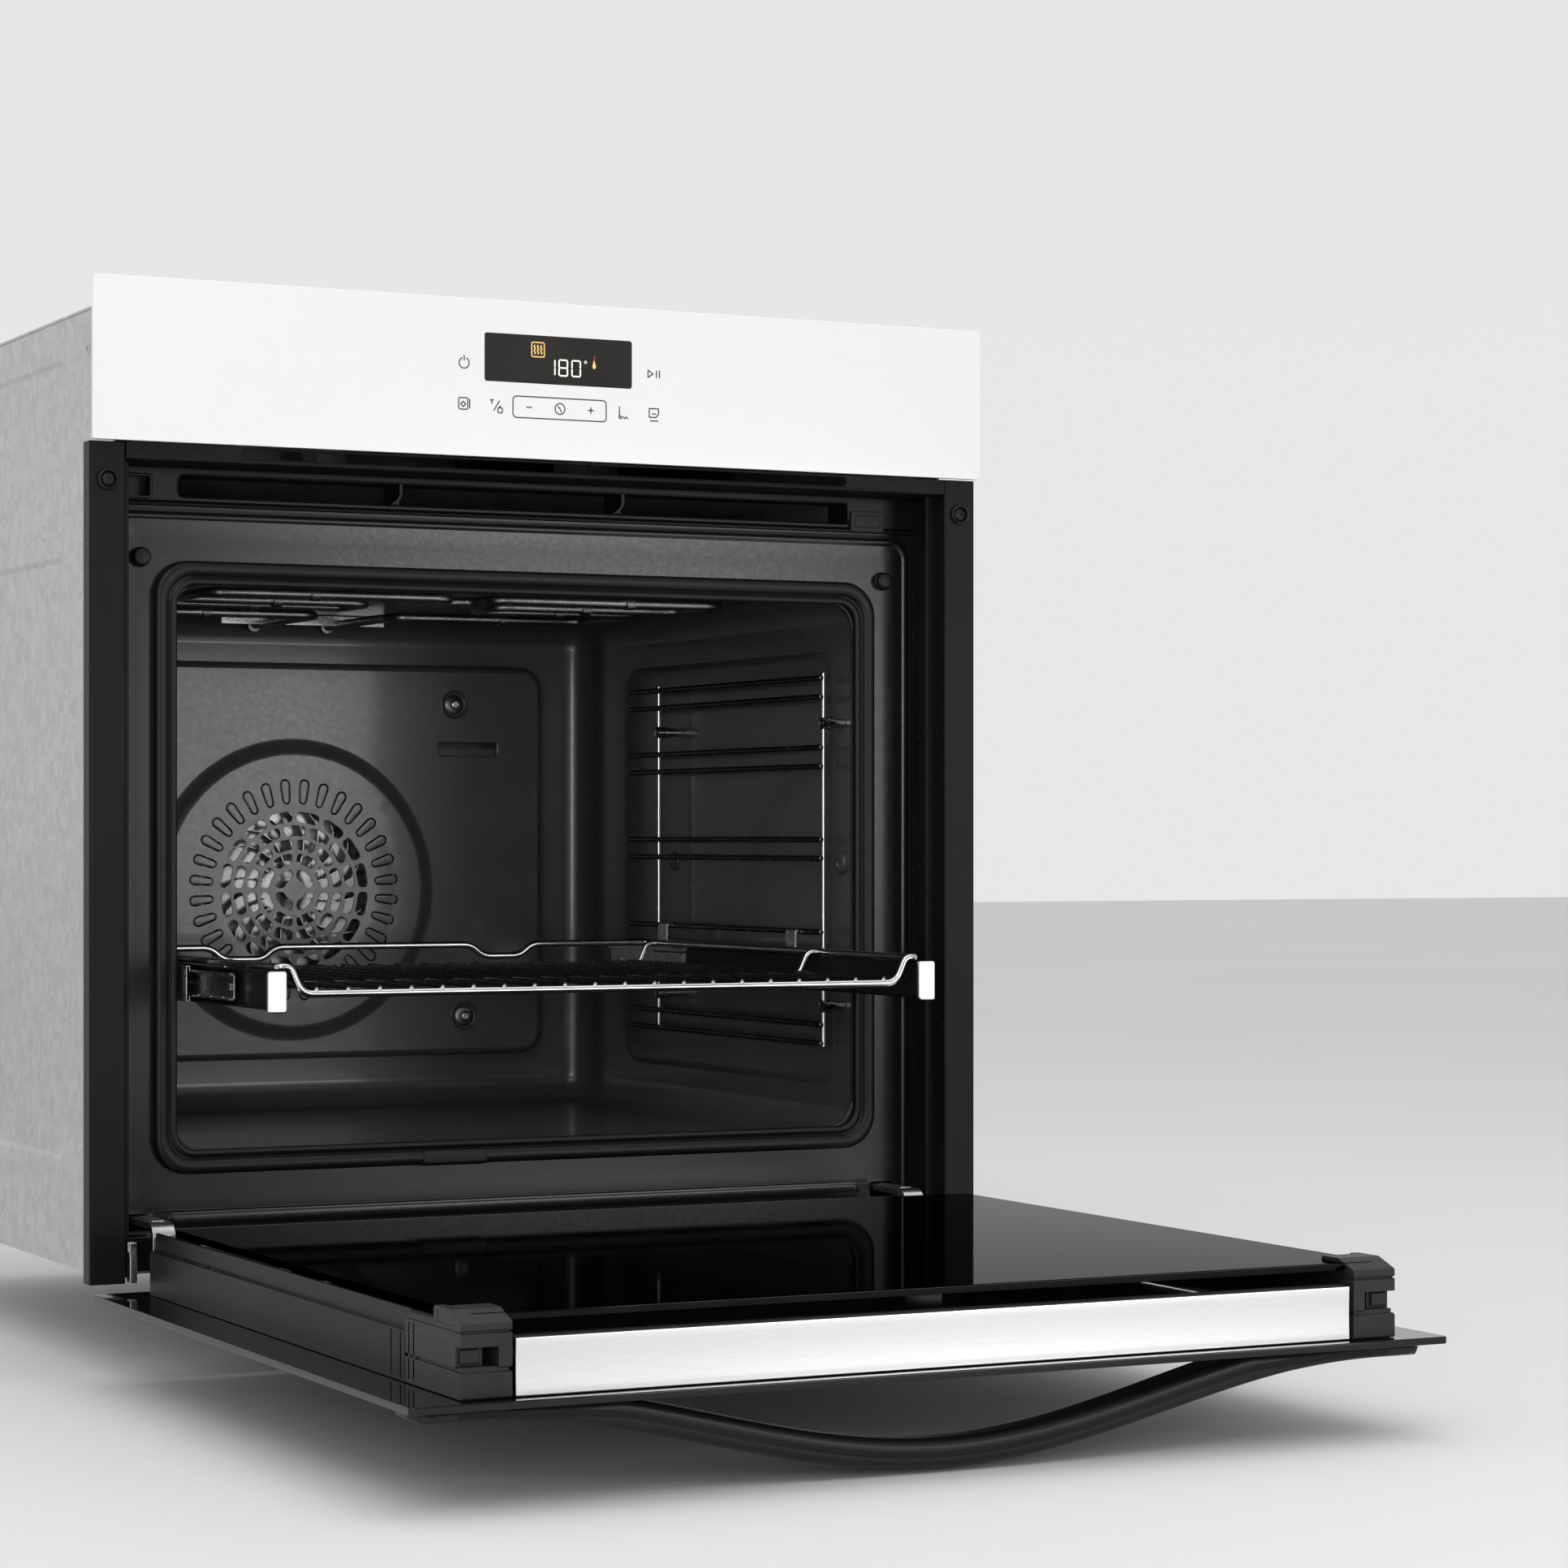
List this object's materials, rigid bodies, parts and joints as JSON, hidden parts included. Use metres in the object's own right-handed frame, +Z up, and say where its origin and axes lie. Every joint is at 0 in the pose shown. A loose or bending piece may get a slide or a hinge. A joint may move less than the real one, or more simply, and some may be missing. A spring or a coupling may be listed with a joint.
{
  "type": "wall oven",
  "caption": "Built-in electric wall oven with a white glass touch control fascia, drop-down glass door with a bow handle, convection cavity and a wire rack on telescopic rails.",
  "frame": {"origin": "centre of the casing's underside, where it rests on the niche shelf (mount niche_base)", "axes": "+Z up, the front faces -Y, +X to the viewer's right of someone facing the front"},
  "size_m": [0.594, 1.0555, 0.6438],
  "materials": {
    "white_glass": "gloss, back-painted white",
    "black_glass": "gloss, back-painted black",
    "clear_glass": "gloss",
    "black_enamel": "gloss enamel",
    "black_paint": "satin",
    "black_plastic": "satin",
    "grey_plastic": "matt, fine grain",
    "zinc_steel": "zinc-coated",
    "chrome_wire": "polished",
    "bright_strip": "satin",
    "element_steel": "heat-tinted",
    "gasket_rubber": "matt silicone",
    "mineral_wool": "fibrous",
    "circuit_board": "satin",
    "lamp_glass": "frosted"
  },
  "bodies": {
    "oven": {"air_duct": "zinc_steel", "air_outlet": "black_plastic", "bottom_element": "element_steel", "bump_stop_left": "gasket_rubber", "bump_stop_right": "gasket_rubber", "casing_back": "zinc_steel", "casing_lid": "zinc_steel", "casing_wrap": "zinc_steel", "cavity_muffle": "black_enamel", "control_board": "circuit_board", "control_fascia": "white_glass", "convection_motor": "zinc_steel", "cooling_fan_housing": "zinc_steel", "cooling_fan_motor": "zinc_steel", "display_window": "black_glass", "door_gasket": "gasket_rubber", "fan_cover": "black_enamel", "fan_cover_screw_1": "zinc_steel", "fan_cover_screw_2": "zinc_steel", "fan_cover_screw_3": "zinc_steel", "fan_cover_screw_4": "zinc_steel", "fascia_carrier": "black_plastic", "fixing_screw_left": "black_plastic", "fixing_screw_right": "black_plastic", "front_crossbar": "black_paint", "front_plate": "black_enamel", "grill_element": "element_steel", "hinge_arm_left": "zinc_steel", "hinge_arm_right": "zinc_steel", "insulation": "mineral_wool", "lamp_lens": "lamp_glass", "rail_fixed_left": "zinc_steel", "rail_fixed_right": "zinc_steel", "ring_element": "element_steel", "side_grid_left": "chrome_wire", "side_grid_right": "chrome_wire", "side_strip_left": "black_paint", "side_strip_right": "black_paint", "terminal_block": "black_plastic"},
    "door": {"door_bottom_rail": "black_paint", "door_end_cap_left": "grey_plastic", "door_end_cap_right": "grey_plastic", "door_handle": "black_plastic", "door_inner_glass": "black_glass", "door_middle_glass": "clear_glass", "door_outer_glass": "black_glass", "door_side_profile_left": "black_paint", "door_side_profile_right": "black_paint", "door_trim_strip": "bright_strip", "hinge_body_left": "zinc_steel", "hinge_body_right": "zinc_steel"},
    "rail_middle_left": {"rail_middle_left": "zinc_steel"},
    "rail_middle_right": {"rail_middle_right": "zinc_steel"},
    "rail_left": {"rail_outer_left": "black_paint", "rail_cap_left": "bright_strip"},
    "rail_right": {"rail_outer_right": "black_paint", "rail_cap_right": "bright_strip"},
    "rack": {"wire_rack": "chrome_wire"},
    "convection_fan": {"convection_fan": "zinc_steel"},
    "cooling_fan": {"cooling_fan_wheel": "zinc_steel"}
  },
  "joints": [
    {"name": "door_hinge", "type": "hinge", "parent": "oven", "child": "door", "pos_m": [0, -0.2895, -0.004], "axis": [-1, 0, 0], "range_deg": [0, 90]},
    {"name": "rail_middle_left_slide", "type": "slide", "parent": "oven", "child": "rail_middle_left", "axis": [0, 1, 0], "range_m": [0, 0.0675]},
    {"name": "rail_middle_right_slide", "type": "slide", "parent": "oven", "child": "rail_middle_right", "axis": [0, 1, 0], "range_m": [0, 0.0675]},
    {"name": "rail_left_slide", "type": "slide", "parent": "oven", "child": "rail_left", "axis": [0, 1, 0], "range_m": [0, 0.135]},
    {"name": "rail_right_slide", "type": "slide", "parent": "oven", "child": "rail_right", "axis": [0, 1, 0], "range_m": [0, 0.135]},
    {"name": "rack_lift", "type": "slide", "parent": "rail_left", "child": "rack", "axis": [0, 0, 1], "range_m": [0, 0.02]},
    {"name": "convection_fan_spin", "type": "hinge", "parent": "oven", "child": "convection_fan", "pos_m": [0, 0.186, 0.2225], "axis": [0, 1, 0], "continuous": true},
    {"name": "cooling_fan_spin", "type": "hinge", "parent": "oven", "child": "cooling_fan", "pos_m": [0, 0.126, 0.4825], "axis": [0, 0, 1], "continuous": true}
  ],
  "couplings": [
    {"joint": "rail_left_slide", "follows": "door_hinge", "m_per_rad": 0.08594},
    {"joint": "rail_right_slide", "follows": "door_hinge", "m_per_rad": 0.08594},
    {"joint": "rail_middle_left_slide", "follows": "door_hinge", "m_per_rad": 0.04297},
    {"joint": "rail_middle_right_slide", "follows": "door_hinge", "m_per_rad": 0.04297}
  ]
}
